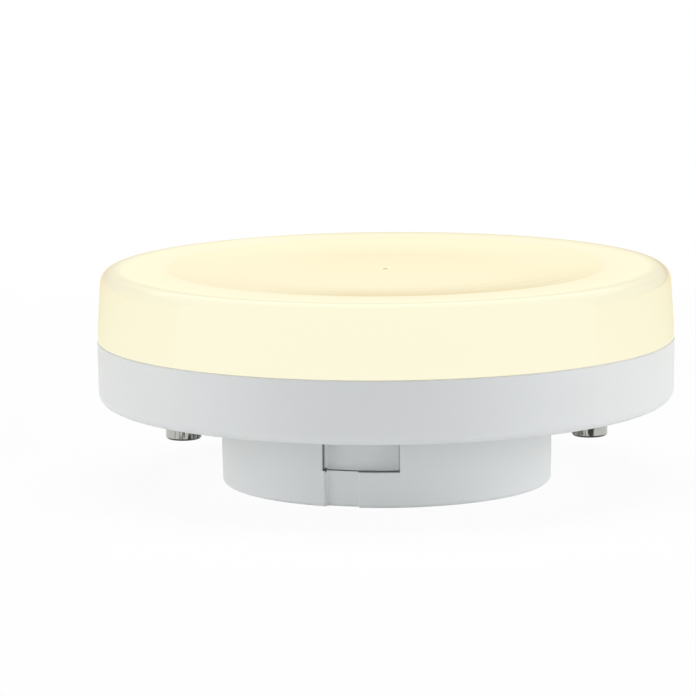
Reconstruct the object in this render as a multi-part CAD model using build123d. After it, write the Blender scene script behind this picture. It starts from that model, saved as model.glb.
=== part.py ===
from build123d import *
from math import cos, radians, sin
import os

os.makedirs("parts", exist_ok=True)

# A round LED lamp with two contact pins under its rim, all sizes in mm.
# The origin is the middle of the collar's bottom face, the pins lie on X, +Z points at the diffuser.

# Driving sizes
LAMP_R = 37.5  # at the seam, where the lamp is widest
LAMP_H = 28.0  # from the collar's bottom to the diffuser's rim
SEAM_Z = 18.9  # the diffuser sits on the housing here
FLANGE_Z = 10.7  # underside of the disc, which rests against the lampholder
COLLAR_R = 21.5
PIN_PITCH = 53.0
ROOM = 0.05  # gap between a round piece and the hole it sits in

# Housing
WALL = 1.7
BODY_DRAFT = 0.1  # the disc is this much smaller at its underside
BODY_CORNER = 1.5
SEAM_ROUND = 0.18  # edge rounds either side of the seam
BODY_R_IN = LAMP_R - WALL
COLLAR_R_IN = COLLAR_R - WALL - 0.1
COLLAR_TAPER = 0.08  # the collar narrows by this much below its lock ledge
COLLAR_CORNER = 0.5
FLOOR_Z = FLANGE_Z + WALL + 0.1  # inside floor of the disc
COLLAR_FLOOR_Z = 1.6
MOULD_ROUND = 0.6  # inside corners of the moulding
TIE = 0.2  # ribs and bosses reach this far into the floor that carries them

# Snap fit between the diffuser's skirt and the housing
SNAP_Z = 18.05  # middle of the snap bead and its groove
SNAP_H = 0.7
SNAP_OUT = 0.3
SNAP_ROOM = 0.1  # the groove is this much taller than the bead at each side

# L-shaped lock grooves in the collar, in degrees from the front face towards +X
POCKET_FROM, POCKET_TO = -22.3, 4.3
SLOT_FROM, SLOT_TO = -21.5, -9.8
POCKET_Z = 4.6  # the ledge: top of the collar's wall below the pocket
POCKET_DEPTH = 1.4
SLOT_DEPTH = 0.7
BACKING_SPREAD = 5.0  # the thickened wall behind a pocket is this many degrees wider at each side

# Ribs under the heat spreader
PLATE_Z = 16.2  # the heat spreader rests on ribs and bosses that end here
RIB_LENGTH, RIB_WIDTH = 4.5, 1.3
RIB_ANGLES = range(15, 360, 30)

# Contact pins
PIN_TIP_Z = 5.45
PIN_HEAD_R, PIN_HEAD_H = 2.35, 2.6
PIN_TIP_ROUND, PIN_BACK_ROUND = 0.45, 0.2  # edges of the head, below and above
PIN_SHANK_R = 1.5
PIN_SHOULDER_R, PIN_SHOULDER_H = 2.3, 0.6  # let into the disc's underside
PIN_FLARE_R, PIN_FLARE_H = 2.1, 0.5  # the inner end is spread over its boss
PIN_BOSS_R, PIN_BOSS_Z = 3.6, 13.8
PIN_BORE_R = 0.75

# Diffuser
CAP_WALL = 1.5
CAP_TOP_R = 36.92  # where the drafted side would meet the flat rim
CAP_SHOULDER = 1.8
DISH_R = 28.4
DISH_FLAT_R = 22.3  # the sloped edge of the dish would meet its flat middle here
DISH_SINK = 0.36
DISH_Z = LAMP_H - DISH_SINK
DISH_BLEND = 235.0  # very wide round between the dish's slope and its flat middle
CREASE_ROUND = 0.12
RIM_FALL = 0.05  # the rim is this much lower where it meets the dish
RIM_CROWN_R, RIM_BLEND = 33.0, 30.0
SKIRT_GAP = 0.15
SKIRT_WALL = 1.3
SKIRT_LEAD = 0.2  # slope on the skirt's edge that helps it into the housing
GATE_R, NUB_R, GATE_DEPTH = 0.7, 0.4, 0.1  # mark that the mould's gate leaves

# LED board, its plate and its screws
PLATE_R, PLATE_T = 35.3, 1.0
SHEET_R, SHEET_T = 30.3, 0.25
LED_BOARD_R, LED_BOARD_T = 33.2, 1.0
LED_BOARD_Z = PLATE_Z + PLATE_T
LED_TOP_Z = LED_BOARD_Z + LED_BOARD_T
NOTCH_R = 1.5  # index notches at the LED board's edge
LED_RINGS = ((24.0, 12, 15.0), (12.0, 6, 0.0))  # radius, count, first angle
LED_SIZE = (3.5, 2.8, 0.7)
LED_RIM, LED_FLOOR = 0.45, 0.3  # the cup's wall and floor
SCREW_CIRCLE_R = 27.5
SCREW_ANGLES = (90, 210, 330)
SCREW_R, SCREW_LENGTH = 1.25, 5.2
SCREW_HEAD_R, SCREW_HEAD_H = 2.2, 1.5
BOSS_R = 2.8
WIRE_HOLE = (0.0, -7.0)  # the LED board's leads come up here
WIRE_HOLE_R = 2.3
TERMINAL = (6.4, 5.0, 2.4)
ENTRY = (1.5, 1.4, 1.5)  # wire entries of the terminal
ENTRY_Y = -1.9
WIRE_SPACING = 2.8
WIRE_RISE = 1.2  # height of the wires over the LED board

# Driver
DRIVER_R, DRIVER_T = 16.9, 1.2
DRIVER_Z = 3.4
DRIVER_TOP = DRIVER_Z + DRIVER_T
DRIVER_FLAT_Y = 15.9  # flats beside the thickened walls
SEAT_R = 15.5
SEAT_ANGLES = (45, 135, 225, 315)
SEAT_SPREAD = 5
LEG = 0.6  # thickness of the components' bent legs
CHOKE_X, CHOKE_Y = 9.6, 6.0
CHOKE_R, CHOKE_CORE_R, CHOKE_H, CHOKE_FLANGE = 4.4, 2.2, 9.0, 1.4
WINDING_TURNS = 8
LEAD_R = 0.6
LEAD_Z = 15.2  # height of the leads over the disc's floor


def turned(*corners):
    """A ring or disc from its section: (radius, height, corner round) in order, swept round Z."""
    outline = FilletPolyline(
        *[(r, z) for r, z, _ in corners], radius=[c for _, _, c in corners], close=True
    )
    return revolve(Plane.XZ * make_face(outline), Axis.Z)


def disc(radius, z, height, x=0.0, y=0.0):
    """An upright cylinder standing on height z."""
    return Pos(x, y, z) * extrude(Circle(radius), height)


def block(size, x, y, z):
    """A box standing on height z, centred on x and y."""
    return Pos(x, y, z) * Box(*size, align=(Align.CENTER, Align.CENTER, Align.MIN))


def polar(radius, angle):
    """The point at this radius, with the angle counted from +X towards +Y."""
    return radius * cos(radians(angle)), radius * sin(radians(angle))


def from_front(radius, angle):
    """The point at this radius, with the angle counted from -Y towards +X."""
    return radius * sin(radians(angle)), -radius * cos(radians(angle))


def sector(r_in, r_out, start, end, z0, z1):
    """Part of a ring between two angles from the front, from height z0 to z1."""
    far = 2 * r_out
    wedge = Polygon((0, 0), from_front(far, start), from_front(far, end), align=None)
    return Pos(0, 0, z0) * extrude((Circle(r_out) - Circle(r_in)) & wedge, z1 - z0)


def lock_groove():
    """The space of one lock groove: an open slot up to a deeper pocket under the disc."""
    outside = COLLAR_R + 1.0
    pocket_r, slot_r = COLLAR_R - POCKET_DEPTH, COLLAR_R - SLOT_DEPTH
    pocket = sector(pocket_r, outside, POCKET_FROM, POCKET_TO, POCKET_Z, FLANGE_Z)
    slot = sector(slot_r, outside, SLOT_FROM, SLOT_TO, -1.0, POCKET_Z)
    return pocket + slot


def groove_backing():
    """The thicker wall behind a lock groove."""
    return sector(
        COLLAR_R - POCKET_DEPTH - WALL,
        COLLAR_R - WALL / 2,
        POCKET_FROM - BACKING_SPREAD,
        POCKET_TO + BACKING_SPREAD,
        COLLAR_FLOOR_Z / 2,
        FLOOR_Z,
    )


def housing():
    """The disc and the collar, moulded as one cup, with ribs, bosses, seats and lock grooves."""
    low, high = SNAP_Z - SNAP_H / 2 - SNAP_ROOM, SNAP_Z + SNAP_H / 2 + SNAP_ROOM
    snap_r = BODY_R_IN + SNAP_OUT - ROOM
    cup = turned(
        (0, 0, 0),
        (COLLAR_R - COLLAR_TAPER, 0, COLLAR_CORNER),
        (COLLAR_R, POCKET_Z, 0),
        (COLLAR_R, FLANGE_Z, MOULD_ROUND / 2),
        (LAMP_R - BODY_DRAFT, FLANGE_Z, BODY_CORNER),
        (LAMP_R, SEAM_Z, SEAM_ROUND),
        (BODY_R_IN, SEAM_Z, 0),
        (BODY_R_IN, high + 2 * SNAP_ROOM, 0),
        (snap_r, high, 0),
        (snap_r, low, 0),
        (BODY_R_IN, low, 0),
        (BODY_R_IN, FLOOR_Z, MOULD_ROUND),
        (COLLAR_R_IN, FLOOR_Z, 0),
        (COLLAR_R_IN, COLLAR_FLOOR_Z, MOULD_ROUND),
        (0, COLLAR_FLOOR_Z, 0),
    )

    # Thicker wall behind each lock groove, then the groove itself
    for turn in (0, 180):
        cup += Rot(Z=turn) * groove_backing()
        cup -= Rot(Z=turn) * lock_groove()

    # Ribs from the floor up to the plate, tied into the wall
    for angle in RIB_ANGLES:
        x, y = polar(BODY_R_IN + TIE - RIB_LENGTH / 2, angle)
        rib = block((RIB_LENGTH, RIB_WIDTH, PLATE_Z - FLOOR_Z + TIE), 0, 0, FLOOR_Z - TIE)
        cup += Pos(x, y) * Rot(Z=angle) * rib

    # Screw bosses, each with a blind hole
    for angle in SCREW_ANGLES:
        x, y = polar(SCREW_CIRCLE_R, angle)
        hole_z = LED_TOP_Z - SCREW_LENGTH - 2 * TIE
        cup += disc(BOSS_R, FLOOR_Z - TIE, PLATE_Z - FLOOR_Z + TIE, x, y)
        cup -= disc(SCREW_R + ROOM, hole_z, LED_TOP_Z - hole_z, x, y)

    # Pin bosses, each with a hole through the disc and a seat for the pin's shoulder
    for side in (-1, 1):
        x = side * PIN_PITCH / 2
        cup += disc(PIN_BOSS_R, FLOOR_Z - TIE, PIN_BOSS_Z - FLOOR_Z + TIE, x)
        cup -= disc(PIN_SHANK_R + ROOM, FLANGE_Z - 1, LED_TOP_Z - FLANGE_Z, x)
        cup -= disc(PIN_SHOULDER_R + ROOM, FLANGE_Z - 1, 1 + PIN_SHOULDER_H, x)

    # The four seats of the driver board
    for angle in SEAT_ANGLES:
        start, end = angle - SEAT_SPREAD, angle + SEAT_SPREAD
        cup += sector(SEAT_R, COLLAR_R_IN + 2 * TIE, start, end, COLLAR_FLOOR_Z / 2, DRIVER_Z)
    return cup


def contact_pin(side):
    """A turned pin: thick head, neck, shoulder in the disc, shank and flared inner end."""
    head_top = PIN_TIP_Z + PIN_HEAD_H
    shoulder_top = FLANGE_Z + PIN_SHOULDER_H
    pin = turned(
        (0, PIN_TIP_Z, 0),
        (PIN_HEAD_R, PIN_TIP_Z, PIN_TIP_ROUND),
        (PIN_HEAD_R, head_top, PIN_BACK_ROUND),
        (PIN_SHANK_R, head_top + 0.5, 0),
        (PIN_SHANK_R, FLANGE_Z, 0),
        (PIN_SHOULDER_R, FLANGE_Z, 0),
        (PIN_SHOULDER_R, shoulder_top, 0),
        (PIN_SHANK_R, shoulder_top, 0),
        (PIN_SHANK_R, PIN_BOSS_Z, 0),
        (PIN_FLARE_R, PIN_BOSS_Z, 0),
        (PIN_FLARE_R - PIN_FLARE_H, PIN_BOSS_Z + PIN_FLARE_H, 0),
        (PIN_BORE_R, PIN_BOSS_Z + PIN_FLARE_H, 0),
        (PIN_BORE_R, FLOOR_Z, 0),
        (0, FLOOR_Z, 0),
    )
    return Pos(side * PIN_PITCH / 2, 0, 0) * pin


def diffuser():
    """The opal cap: drafted side, round shoulder, flat rim, shallow dish and a skirt that snaps in."""
    skirt_r = BODY_R_IN - SKIRT_GAP
    skirt_z = LED_BOARD_Z + SKIRT_GAP
    cap = turned(
        (skirt_r - SKIRT_WALL, skirt_z, 0),
        (skirt_r - SKIRT_LEAD, skirt_z, 0),
        (skirt_r, skirt_z + SKIRT_LEAD, 0),
        (skirt_r, SNAP_Z - SNAP_H / 2, 0),
        (skirt_r + SNAP_OUT, SNAP_Z - SNAP_ROOM, 0),
        (skirt_r + SNAP_OUT, SNAP_Z + SNAP_ROOM, 0),
        (skirt_r, SNAP_Z + SNAP_H / 2, 0),
        (skirt_r, SEAM_Z, 0),
        (LAMP_R, SEAM_Z, SEAM_ROUND),
        (CAP_TOP_R, LAMP_H, CAP_SHOULDER),
        (RIM_CROWN_R, LAMP_H, RIM_BLEND),
        (DISH_R, LAMP_H - RIM_FALL, CREASE_ROUND),
        (DISH_FLAT_R, DISH_Z, DISH_BLEND),
        (0, DISH_Z, 0),
        (0, DISH_Z - CAP_WALL, 0),
        (DISH_FLAT_R, DISH_Z - CAP_WALL, 0),
        (DISH_R, LAMP_H - RIM_FALL - CAP_WALL, 0),
        (CAP_TOP_R - CAP_WALL, LAMP_H - CAP_WALL, MOULD_ROUND),
        (LAMP_R - CAP_WALL - BODY_DRAFT, SEAM_Z + 1.0, 0),
        (skirt_r - SKIRT_WALL, SEAM_Z + 1.0, 0),
    )
    # The gate leaves a shallow dimple with a nub in the middle of the dish
    return cap - (disc(GATE_R, DISH_Z - GATE_DEPTH, 1.0) - disc(NUB_R, DISH_Z - 1.0, 1.0))


def with_board_holes(plate, z, thickness):
    """Cuts the screw holes and the hole for the leads into a plate."""
    for angle in SCREW_ANGLES:
        plate -= disc(SCREW_R + 0.2, z - 1, thickness + 2, *polar(SCREW_CIRCLE_R, angle))
    return plate - disc(WIRE_HOLE_R, z - 1, thickness + 2, *WIRE_HOLE)


def heat_spreader():
    """The round aluminium plate between the LED board and the housing's ribs."""
    return with_board_holes(disc(PLATE_R, PLATE_Z, PLATE_T), PLATE_Z, PLATE_T)


def insulating_sheet():
    """Film under the plate, inside the ribs and open round the screw bosses."""
    sheet = disc(SHEET_R, PLATE_Z - SHEET_T, SHEET_T)
    for angle in SCREW_ANGLES:
        sheet -= disc(BOSS_R + 0.3, PLATE_Z - 1, 2, *polar(SCREW_CIRCLE_R, angle))
    return sheet - disc(WIRE_HOLE_R, PLATE_Z - 1, 2, *WIRE_HOLE)


def led_board():
    """The aluminium-core board with its screw holes, wire hole and two index notches."""
    board = with_board_holes(disc(LED_BOARD_R, LED_BOARD_Z, LED_BOARD_T), LED_BOARD_Z, LED_BOARD_T)
    for side in (-1, 1):
        board -= disc(NOTCH_R, LED_BOARD_Z - 1, LED_BOARD_T + 2, side * LED_BOARD_R)
    return board


def on_led_places(shape):
    """The shape once at each LED's place on the board, turned to face the middle."""
    placed = []
    for radius, count, first in LED_RINGS:
        for i in range(count):
            angle = first + i * 360 / count
            placed.append(Pos(*polar(radius, angle), LED_TOP_Z) * Rot(Z=angle) * shape)
    return Compound(placed)


def led_fill():
    """The space in one LED's cup."""
    length, width, height = LED_SIZE
    return block((length - 2 * LED_RIM, width - 2 * LED_RIM, height - LED_FLOOR), 0, 0, LED_FLOOR)


def led_packages():
    """The white cups of the LEDs, each open where the phosphor fill sits."""
    return on_led_places(block(LED_SIZE, 0, 0, 0) - led_fill())


def led_phosphor():
    """The yellow fill in each LED's cup."""
    return on_led_places(led_fill())


def board_terminal():
    """Two-way push-in terminal in the middle of the LED board, with its wire entries to the front."""
    body = block(TERMINAL, 0, 0, LED_TOP_Z)
    body = chamfer(body.edges().filter_by(Axis.Z), 0.4)
    for side in (-1, 1):
        body -= Pos(side * WIRE_SPACING / 2, ENTRY_Y, LED_TOP_Z + WIRE_RISE) * Box(*ENTRY)
    return body


def board_screws():
    """Three pan-head self-tapping screws with a cross recess."""
    tip_z = LED_TOP_Z - SCREW_LENGTH
    head_z = LED_TOP_Z + SCREW_HEAD_H
    screw = turned(
        (0, tip_z, 0),
        (SCREW_R * 0.4, tip_z, 0),
        (SCREW_R, tip_z + 1.0, 0),
        (SCREW_R, LED_TOP_Z, 0),
        (SCREW_HEAD_R, LED_TOP_Z, 0),
        (SCREW_HEAD_R, head_z, 0.9),
        (0, head_z, 0),
    )
    for turn in (0, 90):
        screw -= Rot(Z=turn) * block((2.4, 0.5, 1.0), 0, 0, head_z - 0.8)
    return Compound([Pos(*polar(SCREW_CIRCLE_R, angle)) * screw for angle in SCREW_ANGLES])


def driver_board():
    """The round board in the collar, with a flat beside each thickened wall."""
    board = disc(DRIVER_R, DRIVER_Z, DRIVER_T)
    return board & block((3 * DRIVER_R, 2 * DRIVER_FLAT_Y, DRIVER_T), 0, 0, DRIVER_Z)


def bent_legs(x, y, spacing, rise, side):
    """Two legs that leave a lying component along X and bend down to the board."""
    legs = []
    for across in (-spacing / 2, spacing / 2):
        legs += [
            Pos(x + side * 0.45, y + across, DRIVER_TOP + rise) * Box(0.9, LEG, LEG),
            block((LEG, LEG, rise + LEG / 2), x + side * 1.2, y + across, DRIVER_TOP),
        ]
    return legs


def lying_can(radius, length, x, y):
    """An electrolytic capacitor lying along X, with a crimp, a bung and two legs down to the board."""
    can = turned(
        (0, 0, 0),
        (radius * 0.8, 0, 0),
        (radius, 0.3, 0),
        (radius, 1.2, 0),
        (radius * 0.88, 1.6, 0),
        (radius, 2.0, 0),
        (radius, length, 0.5),
        (0, length, 0),
    )
    lying = Pos(x + length / 2, y, DRIVER_TOP + radius) * Rot(Y=-90) * can
    return lying + bent_legs(x + length / 2, y, radius * 0.8, radius, 1)


def choke_core():
    """A ferrite drum standing on the board."""
    low, high = CHOKE_FLANGE, CHOKE_H - CHOKE_FLANGE
    drum = turned(
        (0, 0, 0),
        (CHOKE_R, 0, 0),
        (CHOKE_R, low, 0),
        (CHOKE_CORE_R, low, 0),
        (CHOKE_CORE_R, high, 0),
        (CHOKE_R, high, 0),
        (CHOKE_R, CHOKE_H, 0),
        (0, CHOKE_H, 0),
    )
    return Pos(CHOKE_X, CHOKE_Y, DRIVER_TOP) * drum


def choke_winding():
    """The copper winding between the drum's flanges, its turns shown as ridges."""
    low, high = CHOKE_FLANGE + 0.1, CHOKE_H - CHOKE_FLANGE - 0.1
    valley, crest = CHOKE_R - 0.7, CHOKE_R - 0.45
    pitch = (high - low) / WINDING_TURNS
    corners = [(CHOKE_CORE_R + ROOM, low, 0)]
    for i in range(WINDING_TURNS):
        corners += [(valley, low + i * pitch, 0), (crest, low + (i + 0.5) * pitch, 0)]
    corners += [(valley, high, 0), (CHOKE_CORE_R + ROOM, high, 0)]
    return Pos(CHOKE_X, CHOKE_Y, DRIVER_TOP) * turned(*corners)


def film_capacitor():
    """A box film capacitor standing on the board."""
    body = block((9.5, 4.0, 8.0), 9.0, -5.0, DRIVER_TOP)
    return fillet(body.edges().filter_by(Axis.Z), 0.5)


def chip_package(size, x, y, legs, pitch):
    """A moulded package with rows of flat legs along its two long sides."""
    length, width, height = size
    body = block((length, width, height - 0.2), x, y, DRIVER_TOP + 0.2)
    body = chamfer(body.edges().group_by(Axis.Z)[-1], 0.2)
    for i in range(legs):
        leg_x = x + (i - (legs - 1) / 2) * pitch
        body += block((pitch * 0.35, width + 1.8, 0.25), leg_x, y, DRIVER_TOP)
        body += block((pitch * 0.35, width + 0.6, height * 0.55), leg_x, y, DRIVER_TOP)
    return body


def fusible_resistor():
    """An axial resistor lying along X, waisted, with its two leads bent down to the board."""
    radius, length, x, y = 1.6, 7.0, 8.2, -10.4
    half, waist = length / 2, radius * 0.85
    body = turned(
        (0, -half, 0),
        (radius, -half, 0.5),
        (radius, -half * 0.55, 0),
        (waist, -half * 0.4, 0),
        (waist, half * 0.4, 0),
        (radius, half * 0.55, 0),
        (radius, half, 0.5),
        (0, half, 0),
    )
    resistor = Pos(x, y, DRIVER_TOP + radius) * Rot(Y=90) * body
    for side in (-1, 1):
        resistor += bent_legs(x + side * (half - 0.1), y, 0, radius, side)[:2]
    return resistor


def chips(size, places):
    """Small two-ended chips at the given places, each with its turn about Z."""
    chip = block(size, 0, 0, 0)
    return Compound([Pos(x, y, DRIVER_TOP) * Rot(Z=turn) * chip for x, y, turn in places])


def chip_resistors():
    """Four chip resistors round the driver chip."""
    return chips((2.0, 1.25, 0.5), [(4.6, -2.0, 90), (-4.2, -1.0, 90), (-4.2, 2.2, 90), (4.8, 2.0, 90)])


def chip_capacitors():
    """Three chip capacitors."""
    return chips((3.2, 1.6, 1.2), [(-1.0, 4.2, 0), (-4.6, -5.6, 0), (-13.2, 5.4, 90)])


def lead(radii, *points):
    """An insulated wire: straight runs joined by arcs."""
    path = FilletPolyline(*points, radius=radii)
    return sweep(Plane(origin=path @ 0, z_dir=path % 0) * Circle(LEAD_R), path)


def pin_lead(side):
    """From inside a pin, over the disc's floor and down into the collar to the driver board."""
    x = side * PIN_PITCH / 2
    return lead(
        (1.0, 3.0, 3.0),
        (x, 0, FLOOR_Z),
        (x, 0, LEAD_Z),
        (side * 20.0, side * 0.6, LEAD_Z),
        (side * 15.4, side * 1.6, 11.0),
        (side * 15.2, side * 1.6, DRIVER_TOP),
    )


def led_lead(side):
    """From the driver board up through the plate and into the terminal on the LED board."""
    x, y, z = side * WIRE_SPACING / 2, WIRE_HOLE[1], LED_TOP_Z + WIRE_RISE
    return lead((2.0,), (x, y, DRIVER_TOP), (x, y, z), (x, ENTRY_Y + ENTRY[1] / 2, z))


nodes = {
    "housing": housing(),
    "diffuser": diffuser(),
    "contact_pin_left": contact_pin(-1),
    "contact_pin_right": contact_pin(1),
    "heat_spreader": heat_spreader(),
    "insulating_sheet": insulating_sheet(),
    "led_board": led_board(),
    "led_packages": led_packages(),
    "led_phosphor": led_phosphor(),
    "board_terminal": board_terminal(),
    "board_screws": board_screws(),
    "driver_board": driver_board(),
    "input_capacitor": lying_can(4.0, 11.5, -4.0, 9.6),
    "output_capacitor": lying_can(3.15, 10.5, -4.6, -11.2),
    "choke_core": choke_core(),
    "choke_winding": choke_winding(),
    "film_capacitor": film_capacitor(),
    "bridge_rectifier": chip_package((4.7, 3.8, 2.5), -9.0, -3.2, 2, 2.5),
    "driver_chip": chip_package((4.9, 3.9, 1.6), 0.5, 0.5, 4, 1.27),
    "catch_diode": chip_package((4.3, 2.6, 2.2), -8.5, 2.6, 1, 3.0),
    "fusible_resistor": fusible_resistor(),
    "chip_resistors": chip_resistors(),
    "chip_capacitors": chip_capacitors(),
    "pin_lead_left": pin_lead(-1),
    "pin_lead_right": pin_lead(1),
    "led_lead_positive": led_lead(1),
    "led_lead_negative": led_lead(-1),
}
for name, shape in nodes.items():
    export_step(shape, f"parts/{name}.step")
print(len(nodes), "nodes written")
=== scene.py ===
# %% [markdown]
# A round LED lamp, lit, on a white sweep. The real lamp is two mouldings snapped together: an opal
# cap that glows and a white disc with a narrower collar, with two metal pins under its rim.
# The frame holds every piece as solids of the right size. This script dresses them: it models the
# two mouldings and the pins again with finer edges, and gives every piece the finish of its material.

# %% Load the frame
from math import ceil, cos, degrees, pi, radians, sin, sqrt, tan

import bmesh
import bpy
from mathutils import Matrix, Vector


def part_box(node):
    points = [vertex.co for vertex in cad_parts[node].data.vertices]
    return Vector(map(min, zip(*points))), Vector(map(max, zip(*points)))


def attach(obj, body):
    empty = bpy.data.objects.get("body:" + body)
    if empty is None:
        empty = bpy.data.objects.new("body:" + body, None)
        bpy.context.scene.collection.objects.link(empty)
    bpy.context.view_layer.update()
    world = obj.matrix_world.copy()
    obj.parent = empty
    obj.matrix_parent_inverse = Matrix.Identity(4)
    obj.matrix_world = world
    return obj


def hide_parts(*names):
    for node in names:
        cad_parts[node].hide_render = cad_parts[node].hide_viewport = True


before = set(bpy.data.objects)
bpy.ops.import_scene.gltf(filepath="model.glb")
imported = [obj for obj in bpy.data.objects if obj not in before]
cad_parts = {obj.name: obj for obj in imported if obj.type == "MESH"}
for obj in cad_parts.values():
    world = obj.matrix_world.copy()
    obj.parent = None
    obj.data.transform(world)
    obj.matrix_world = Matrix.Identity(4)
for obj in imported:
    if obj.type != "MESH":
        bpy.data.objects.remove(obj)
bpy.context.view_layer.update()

MM = 0.001

# %% [markdown]
# The photo was taken with a long lens from about nine degrees above the table, and the lamp stands a
# little right of the middle and a little low. A lens shift frames it so, without turning the camera.
# The camera also leans by about half a degree.

# %% Camera
PHOTO_SIDE = 696
PX_PER_MM = 7.67  # how large the lamp's middle is in the photo
AIM = Vector((0, 0, 14)) * MM
AIM_PX = (386.2, 372.2)  # where that point is in the photo
DISTANCE = 550 * MM
ELEVATION = radians(9.0)
LEAN = radians(0.45)

lens = bpy.data.cameras.new("long_lens")
lens.sensor_width = 36
lens.lens = lens.sensor_width * PX_PER_MM * DISTANCE / MM / PHOTO_SIDE
lens.shift_x = (PHOTO_SIDE / 2 - AIM_PX[0]) / PHOTO_SIDE
lens.shift_y = (AIM_PX[1] - PHOTO_SIDE / 2) / PHOTO_SIDE
lens.clip_start, lens.clip_end = 0.01, 20
camera = bpy.data.objects.new("camera", lens)
camera.location = AIM + DISTANCE * Vector((0, -cos(ELEVATION), sin(ELEVATION)))
camera.rotation_euler = (AIM - camera.location).to_track_quat("-Z", "Y").to_euler()
camera.rotation_euler.rotate_axis("Z", -LEAN)
scene = bpy.context.scene
scene.collection.objects.link(camera)
scene.camera = camera
scene.view_settings.view_transform = "Standard"
print("lens", round(lens.lens, 1), "mm, shift", round(lens.shift_x, 4), round(lens.shift_y, 4))

# %% [markdown]
# Colours are given as sRGB hex values, but the shader works in linear light, so one function
# turns them. Another adds a node together with what feeds it, and every material is built with it.
# The rest give what patterns start from: coordinates at a real size, and the place on the lamp.

# %% Helpers for materials
def linear(hex_colour):
    """The sRGB hex colour as linear red, green, blue and alpha."""
    parts = [int(hex_colour[i:i + 2], 16) / 255 for i in (1, 3, 5)]
    return [p / 12.92 if p <= 0.04045 else ((p + 0.055) / 1.055) ** 2.4 for p in parts] + [1.0]


def add(tree, kind, *feeds, out=None, **settings):
    """Adds a node and returns its output. Feeds go to its inputs in order, and a setting goes to the input
    of that name or else to the property. Each is a value, a hex colour or another node's output."""
    node = tree.nodes.new("ShaderNode" + kind)
    names = [socket.name.replace(" ", "_").lower() for socket in node.inputs]
    for name, value in settings.items():
        if name not in names:
            setattr(node, name, value)
    sockets = {name: socket for name, socket in reversed([*zip(names, node.inputs)]) if socket.enabled}
    named = [(sockets[name], value) for name, value in settings.items() if name in names]
    for socket, value in [*zip(node.inputs, feeds), *named]:
        if isinstance(value, bpy.types.NodeSocket):
            tree.links.new(value, socket)
        else:
            socket.default_value = linear(value) if isinstance(value, str) else value
    return node.outputs[out] if out else next((socket for socket in node.outputs if socket.enabled), None)


def blank(name):
    """A new material without nodes, and its node tree."""
    made = bpy.data.materials.new(name)
    made.use_nodes = True
    made.node_tree.nodes.clear()
    return made, made.node_tree


def material(name, colour, roughness, **settings):
    """A material with one Principled shader. Returns it with its node tree and the shader's inputs."""
    made, tree = blank(name)
    surface = add(tree, "BsdfPrincipled", base_color=colour, roughness=roughness, **settings)
    add(tree, "OutputMaterial", surface=surface)
    return made, tree, surface.node.inputs


def places(tree, size_mm, stretch=(1, 1, 1)):
    """Coordinates on the object that grow by one every size_mm."""
    where = add(tree, "TexCoord", out="Object")
    return add(tree, "Mapping", vector=where, scale=[s / (size_mm * MM) for s in stretch])


def along(tree, axis):
    """How far a point is along one of the object's axes, in metres."""
    return add(tree, "SeparateXYZ", add(tree, "TexCoord", out="Object"), out=axis)


def around(tree):
    """Distance from the lamp's axis and height, both in mm, and the direction away from the axis."""
    where = add(tree, "TexCoord", out="Object")
    flat = add(tree, "VectorMath", where, (1 / MM, 1 / MM, 0), operation="MULTIPLY")
    radius = add(tree, "VectorMath", flat, operation="LENGTH")
    outward = add(tree, "VectorMath", flat, operation="NORMALIZE")
    return radius, add(tree, "Math", along(tree, "Z"), MM, operation="DIVIDE"), outward


# %% [markdown]
# A grain is a soft noise at one real size. It mottles the colour a little and raises the surface by
# a few thousandths of a millimetre, which is what keeps a moulded or rolled surface from looking
# like a computer's flat colour.

# %% Grain
def grain(tree, shader, size_mm, pale, dark, relief_mm=0.002, stretch=(1, 1, 1)):
    """Mottles the base colour and the height with noise of this size, and returns that colour."""
    noise = add(tree, "TexNoise", vector=places(tree, size_mm, stretch), scale=1.0, detail=3.0)
    tone = add(tree, "Mix", data_type="RGBA", factor=noise, a=pale, b=dark)
    relief = add(tree, "Bump", height=noise, strength=1.0, distance=relief_mm * MM)
    tree.links.new(tone, shader["Base Color"])
    tree.links.new(relief, shader["Normal"])
    return tone


# %% [markdown]
# The backdrop is white and has no visible horizon. The floor is a pale matt sheet for the light that
# falls on the lamp, and a white one for the camera and for reflections, so it never lights the lamp
# more than a sheet of paper would. Near the lamp a part of its white comes from the light that really
# reaches it, which leaves the faint soft shadow where the lamp stands.

# %% Floor
WHITE = (1, 1, 1, 1)
SHADOW_SHARE = 0.08  # how much of the floor's white comes from real light near the lamp
MAKE_UP = 1.15  # the light on the open floor is a little under white, and this makes up for it
FADE = (0.08, 0.25)  # metres from the lamp between which the floor turns plain white


def placed(name, shape):
    """Puts a finished bmesh into the scene as an object."""
    mesh = bpy.data.meshes.new(name)
    shape.to_mesh(mesh)
    shape.free()
    made = bpy.data.objects.new(name, mesh)
    scene.collection.objects.link(made)
    return made


def seen_directly(tree):
    """1 for what the camera, a reflection or a view through glass sees, and 0 for light on the lamp."""
    rays = add(tree, "LightPath").node.outputs
    seen = add(tree, "Math", rays["Is Camera Ray"], rays["Is Glossy Ray"], operation="MAXIMUM")
    return add(tree, "Math", seen, rays["Is Transmission Ray"], operation="MAXIMUM")


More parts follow.
